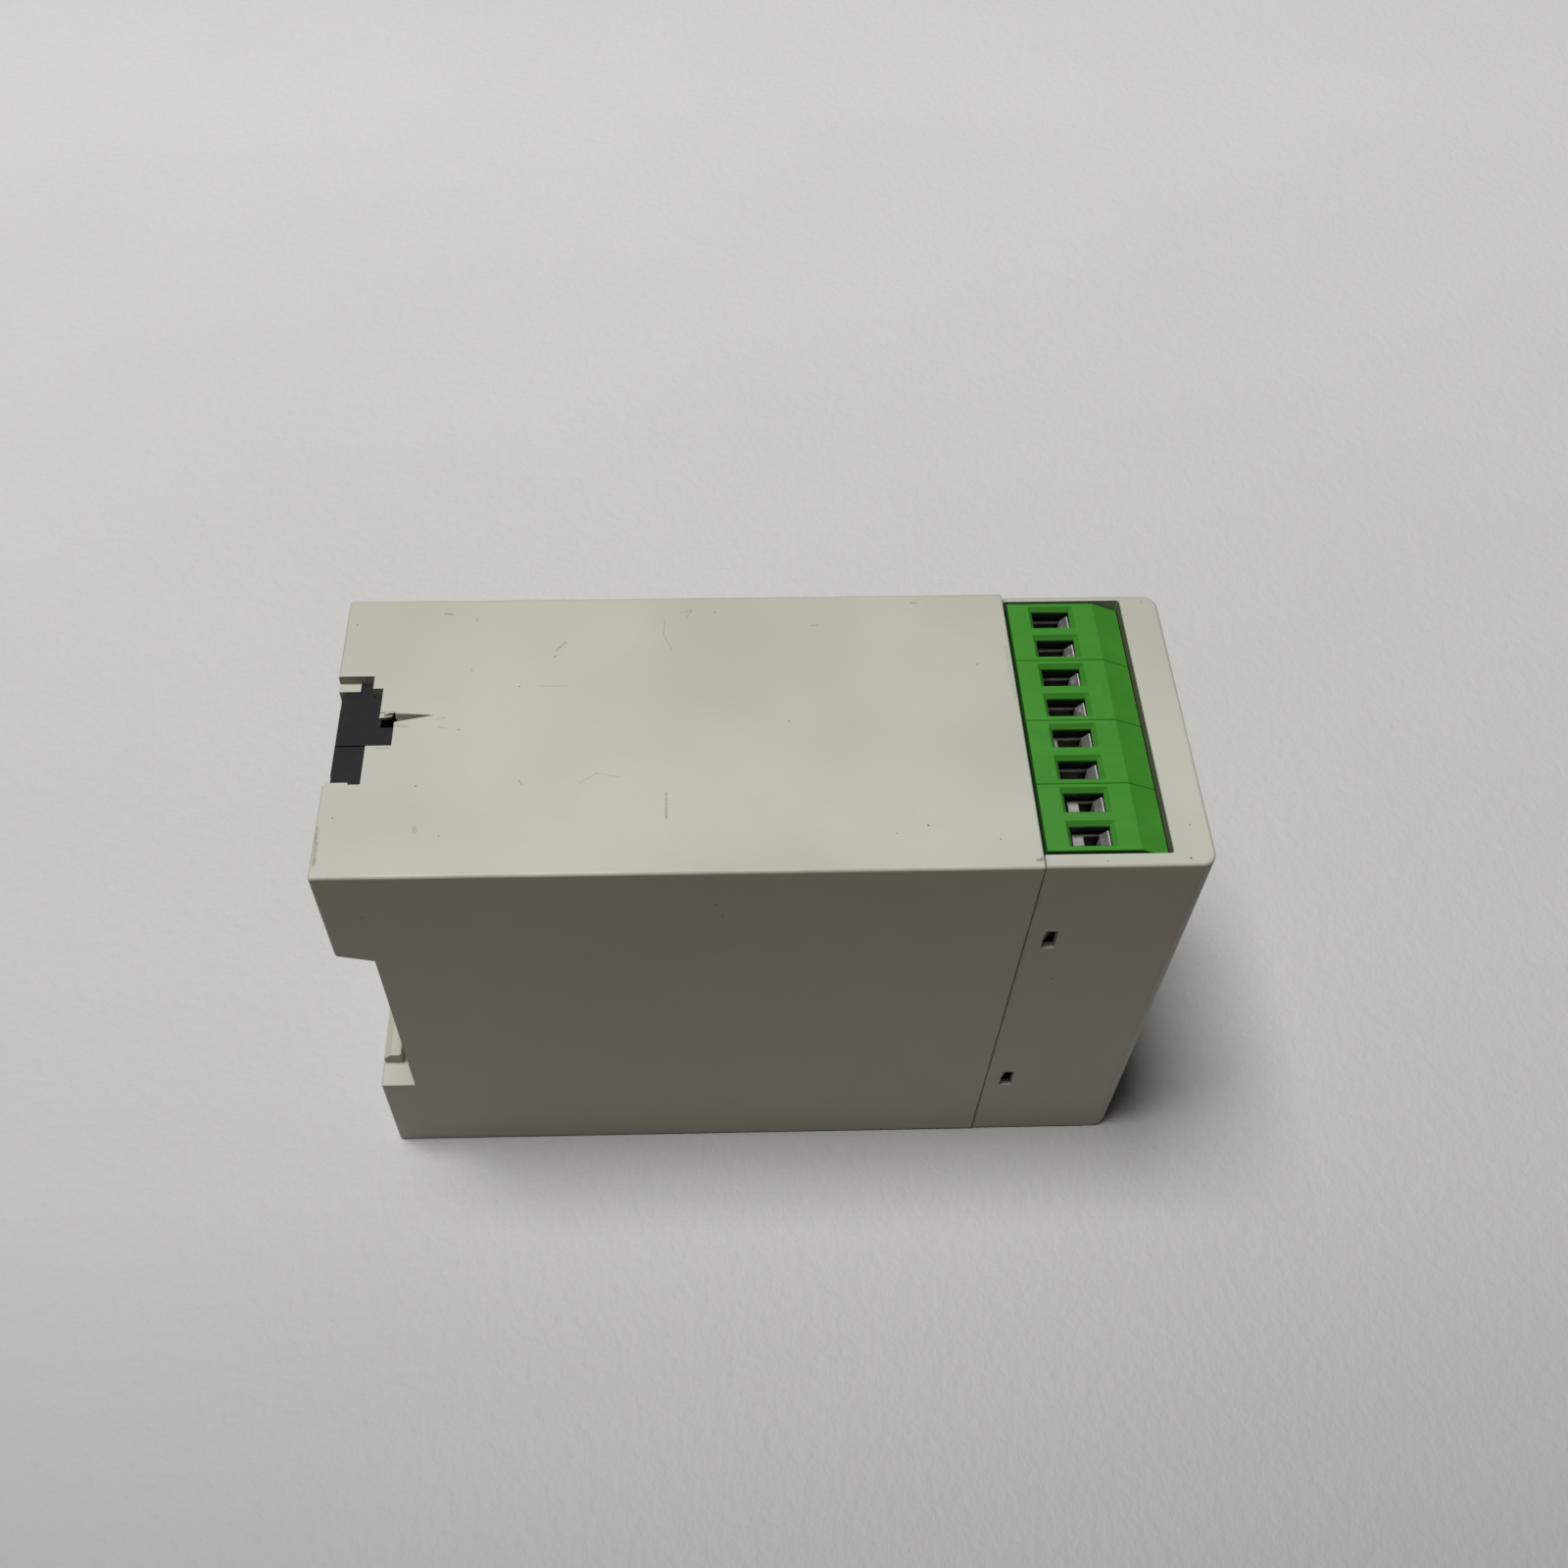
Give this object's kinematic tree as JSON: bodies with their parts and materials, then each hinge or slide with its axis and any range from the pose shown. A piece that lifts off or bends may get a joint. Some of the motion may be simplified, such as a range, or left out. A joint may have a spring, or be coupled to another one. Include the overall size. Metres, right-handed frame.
{
  "type": "solid state relay",
  "caption": "Solid state relay in a grey clip-on housing for a 35 mm rail, with a green screw-clamp terminal row in each end face and a sprung rail latch.",
  "frame": {"origin": "centre of the rail seat, on the face that the rail's flanges bear against", "axes": "+Y points back towards the rail and -Y to the front face, +Z to the end with the rail latch, X runs along the rail"},
  "size_m": [0.045, 0.1108, 0.075],
  "materials": {
    "housing_grey": "fine textured ABS, aged",
    "label_plastic": "satin film, blank",
    "clear_plastic": "polished",
    "latch_black": "satin moulded",
    "spring_wire": "drawn wire",
    "terminal_green": "satin moulded",
    "screw_steel": "zinc plated",
    "clamp_steel": "zinc plated",
    "contact_tin": "tinned copper",
    "board_laminate": "solder mask over glass laminate",
    "connector_black": "moulded",
    "pin_gold": "flash plated",
    "sink_aluminium": "as extruded",
    "triac_epoxy": "moulded epoxy",
    "pad_grey": "filled silicone",
    "fastener_steel": "zinc plated",
    "coupler_plastic": "moulded",
    "capacitor_yellow": "moulded box",
    "varistor_blue": "dipped epoxy",
    "resistor_body": "flameproof lacquer",
    "led_red": "diffused lens"
  },
  "bodies": {
    "housing": {"case": "housing_grey", "front_cover": "housing_grey", "front_label": "label_plastic", "light_pipes": "clear_plastic", "latch_spring": "spring_wire", "terminal_block_top_1": "terminal_green", "terminal_block_top_2": "terminal_green", "terminal_block_top_3": "terminal_green", "terminal_block_top_4": "terminal_green", "terminal_block_bottom_1": "terminal_green", "terminal_block_bottom_2": "terminal_green", "terminal_block_bottom_3": "terminal_green", "terminal_block_bottom_4": "terminal_green", "contact_bars": "contact_tin", "front_board": "board_laminate", "main_board": "board_laminate", "board_connector": "connector_black", "connector_pins": "pin_gold", "heat_sink": "sink_aluminium", "power_triacs": "triac_epoxy", "thermal_pads": "pad_grey", "heat_sink_screws": "fastener_steel", "optocouplers": "coupler_plastic", "snubber_capacitors": "capacitor_yellow", "varistors": "varistor_blue", "snubber_resistors": "resistor_body", "indicator_leds": "led_red"},
    "latch": {"rail_latch": "latch_black"},
    "screw_01": {"terminal_screw_01": "screw_steel"},
    "clamp_01": {"wire_clamp_01": "clamp_steel"},
    "screw_02": {"terminal_screw_02": "screw_steel"},
    "clamp_02": {"wire_clamp_02": "clamp_steel"},
    "screw_03": {"terminal_screw_03": "screw_steel"},
    "clamp_03": {"wire_clamp_03": "clamp_steel"},
    "screw_04": {"terminal_screw_04": "screw_steel"},
    "clamp_04": {"wire_clamp_04": "clamp_steel"},
    "screw_05": {"terminal_screw_05": "screw_steel"},
    "clamp_05": {"wire_clamp_05": "clamp_steel"},
    "screw_06": {"terminal_screw_06": "screw_steel"},
    "clamp_06": {"wire_clamp_06": "clamp_steel"},
    "screw_07": {"terminal_screw_07": "screw_steel"},
    "clamp_07": {"wire_clamp_07": "clamp_steel"},
    "screw_08": {"terminal_screw_08": "screw_steel"},
    "clamp_08": {"wire_clamp_08": "clamp_steel"},
    "screw_09": {"terminal_screw_09": "screw_steel"},
    "clamp_09": {"wire_clamp_09": "clamp_steel"},
    "screw_10": {"terminal_screw_10": "screw_steel"},
    "clamp_10": {"wire_clamp_10": "clamp_steel"},
    "screw_11": {"terminal_screw_11": "screw_steel"},
    "clamp_11": {"wire_clamp_11": "clamp_steel"},
    "screw_12": {"terminal_screw_12": "screw_steel"},
    "clamp_12": {"wire_clamp_12": "clamp_steel"},
    "screw_13": {"terminal_screw_13": "screw_steel"},
    "clamp_13": {"wire_clamp_13": "clamp_steel"},
    "screw_14": {"terminal_screw_14": "screw_steel"},
    "clamp_14": {"wire_clamp_14": "clamp_steel"},
    "screw_15": {"terminal_screw_15": "screw_steel"},
    "clamp_15": {"wire_clamp_15": "clamp_steel"},
    "screw_16": {"terminal_screw_16": "screw_steel"},
    "clamp_16": {"wire_clamp_16": "clamp_steel"}
  },
  "joints": [
    {"name": "latch_slide", "type": "slide", "parent": "housing", "child": "latch", "axis": [0, 0, 1], "range_m": [0, 0.003], "stiffness_N_per_m": 1500, "springref_m": -0.004, "deforming": ["latch_spring"]},
    {"name": "screw_01_turn", "type": "hinge", "parent": "housing", "child": "screw_01", "pos_m": [-0.01733, -0.0991, 0.0316], "axis": [0, 1, 0], "range_deg": [-1368.1, 432.1]},
    {"name": "clamp_01_slide", "type": "slide", "parent": "housing", "child": "clamp_01", "axis": [0, -1, 0], "range_m": [-0.0019, 0.0006]},
    {"name": "screw_02_turn", "type": "hinge", "parent": "housing", "child": "screw_02", "pos_m": [-0.01225, -0.0991, 0.0316], "axis": [0, 1, 0], "range_deg": [-1476.1, 324.1]},
    {"name": "clamp_02_slide", "type": "slide", "parent": "housing", "child": "clamp_02", "axis": [0, -1, 0], "range_m": [-0.00205, 0.00045]},
    {"name": "screw_03_turn", "type": "hinge", "parent": "housing", "child": "screw_03", "pos_m": [-0.00717, -0.0991, 0.0316], "axis": [0, 1, 0], "range_deg": [-0.1, 1800.1]},
    {"name": "clamp_03_slide", "type": "slide", "parent": "housing", "child": "clamp_03", "axis": [0, -1, 0], "range_m": [0, 0.0025]},
    {"name": "screw_04_turn", "type": "hinge", "parent": "housing", "child": "screw_04", "pos_m": [-0.00209, -0.0991, 0.0316], "axis": [0, 1, 0], "range_deg": [-576.1, 1224.1]},
    {"name": "clamp_04_slide", "type": "slide", "parent": "housing", "child": "clamp_04", "axis": [0, -1, 0], "range_m": [-0.0008, 0.0017]},
    {"name": "screw_05_turn", "type": "hinge", "parent": "housing", "child": "screw_05", "pos_m": [0.00299, -0.0991, 0.0316], "axis": [0, 1, 0], "range_deg": [-0.1, 1800.1]},
    {"name": "clamp_05_slide", "type": "slide", "parent": "housing", "child": "clamp_05", "axis": [0, -1, 0], "range_m": [0, 0.0025]},
    {"name": "screw_06_turn", "type": "hinge", "parent": "housing", "child": "screw_06", "pos_m": [0.00807, -0.0991, 0.0316], "axis": [0, 1, 0], "range_deg": [-0.1, 1800.1]},
    {"name": "clamp_06_slide", "type": "slide", "parent": "housing", "child": "clamp_06", "axis": [0, -1, 0], "range_m": [0, 0.0025]},
    {"name": "screw_07_turn", "type": "hinge", "parent": "housing", "child": "screw_07", "pos_m": [0.01315, -0.0991, 0.0316], "axis": [0, 1, 0], "range_deg": [-0.1, 1800.1]},
    {"name": "clamp_07_slide", "type": "slide", "parent": "housing", "child": "clamp_07", "axis": [0, -1, 0], "range_m": [0, 0.0025]},
    {"name": "screw_08_turn", "type": "hinge", "parent": "housing", "child": "screw_08", "pos_m": [0.01823, -0.0991, 0.0316], "axis": [0, 1, 0], "range_deg": [-0.1, 1800.1]},
    {"name": "clamp_08_slide", "type": "slide", "parent": "housing", "child": "clamp_08", "axis": [0, -1, 0], "range_m": [0, 0.0025]},
    {"name": "screw_09_turn", "type": "hinge", "parent": "housing", "child": "screw_09", "pos_m": [-0.01733, -0.0991, -0.0316], "axis": [0, 1, 0], "range_deg": [-0.1, 1800.1]},
    {"name": "clamp_09_slide", "type": "slide", "parent": "housing", "child": "clamp_09", "axis": [0, -1, 0], "range_m": [0, 0.0025]},
    {"name": "screw_10_turn", "type": "hinge", "parent": "housing", "child": "screw_10", "pos_m": [-0.01225, -0.0991, -0.0316], "axis": [0, 1, 0], "range_deg": [-0.1, 1800.1]},
    {"name": "clamp_10_slide", "type": "slide", "parent": "housing", "child": "clamp_10", "axis": [0, -1, 0], "range_m": [0, 0.0025]},
    {"name": "screw_11_turn", "type": "hinge", "parent": "housing", "child": "screw_11", "pos_m": [-0.00717, -0.0991, -0.0316], "axis": [0, 1, 0], "range_deg": [-0.1, 1800.1]},
    {"name": "clamp_11_slide", "type": "slide", "parent": "housing", "child": "clamp_11", "axis": [0, -1, 0], "range_m": [0, 0.0025]},
    {"name": "screw_12_turn", "type": "hinge", "parent": "housing", "child": "screw_12", "pos_m": [-0.00209, -0.0991, -0.0316], "axis": [0, 1, 0], "range_deg": [-0.1, 1800.1]},
    {"name": "clamp_12_slide", "type": "slide", "parent": "housing", "child": "clamp_12", "axis": [0, -1, 0], "range_m": [0, 0.0025]},
    {"name": "screw_13_turn", "type": "hinge", "parent": "housing", "child": "screw_13", "pos_m": [0.00299, -0.0991, -0.0316], "axis": [0, 1, 0], "range_deg": [-0.1, 1800.1]},
    {"name": "clamp_13_slide", "type": "slide", "parent": "housing", "child": "clamp_13", "axis": [0, -1, 0], "range_m": [0, 0.0025]},
    {"name": "screw_14_turn", "type": "hinge", "parent": "housing", "child": "screw_14", "pos_m": [0.00807, -0.0991, -0.0316], "axis": [0, 1, 0], "range_deg": [-0.1, 1800.1]},
    {"name": "clamp_14_slide", "type": "slide", "parent": "housing", "child": "clamp_14", "axis": [0, -1, 0], "range_m": [0, 0.0025]},
    {"name": "screw_15_turn", "type": "hinge", "parent": "housing", "child": "screw_15", "pos_m": [0.01315, -0.0991, -0.0316], "axis": [0, 1, 0], "range_deg": [-0.1, 1800.1]},
    {"name": "clamp_15_slide", "type": "slide", "parent": "housing", "child": "clamp_15", "axis": [0, -1, 0], "range_m": [0, 0.0025]},
    {"name": "screw_16_turn", "type": "hinge", "parent": "housing", "child": "screw_16", "pos_m": [0.01823, -0.0991, -0.0316], "axis": [0, 1, 0], "range_deg": [-0.1, 1800.1]},
    {"name": "clamp_16_slide", "type": "slide", "parent": "housing", "child": "clamp_16", "axis": [0, -1, 0], "range_m": [0, 0.0025]}
  ],
  "couplings": [
    {"joint": "screw_01_turn", "follows": "clamp_01_slide", "rad_per_m": 12566},
    {"joint": "screw_02_turn", "follows": "clamp_02_slide", "rad_per_m": 12566},
    {"joint": "screw_03_turn", "follows": "clamp_03_slide", "rad_per_m": 12566},
    {"joint": "screw_04_turn", "follows": "clamp_04_slide", "rad_per_m": 12566},
    {"joint": "screw_05_turn", "follows": "clamp_05_slide", "rad_per_m": 12566},
    {"joint": "screw_06_turn", "follows": "clamp_06_slide", "rad_per_m": 12566},
    {"joint": "screw_07_turn", "follows": "clamp_07_slide", "rad_per_m": 12566},
    {"joint": "screw_08_turn", "follows": "clamp_08_slide", "rad_per_m": 12566},
    {"joint": "screw_09_turn", "follows": "clamp_09_slide", "rad_per_m": 12566},
    {"joint": "screw_10_turn", "follows": "clamp_10_slide", "rad_per_m": 12566},
    {"joint": "screw_11_turn", "follows": "clamp_11_slide", "rad_per_m": 12566},
    {"joint": "screw_12_turn", "follows": "clamp_12_slide", "rad_per_m": 12566},
    {"joint": "screw_13_turn", "follows": "clamp_13_slide", "rad_per_m": 12566},
    {"joint": "screw_14_turn", "follows": "clamp_14_slide", "rad_per_m": 12566},
    {"joint": "screw_15_turn", "follows": "clamp_15_slide", "rad_per_m": 12566},
    {"joint": "screw_16_turn", "follows": "clamp_16_slide", "rad_per_m": 12566}
  ]
}
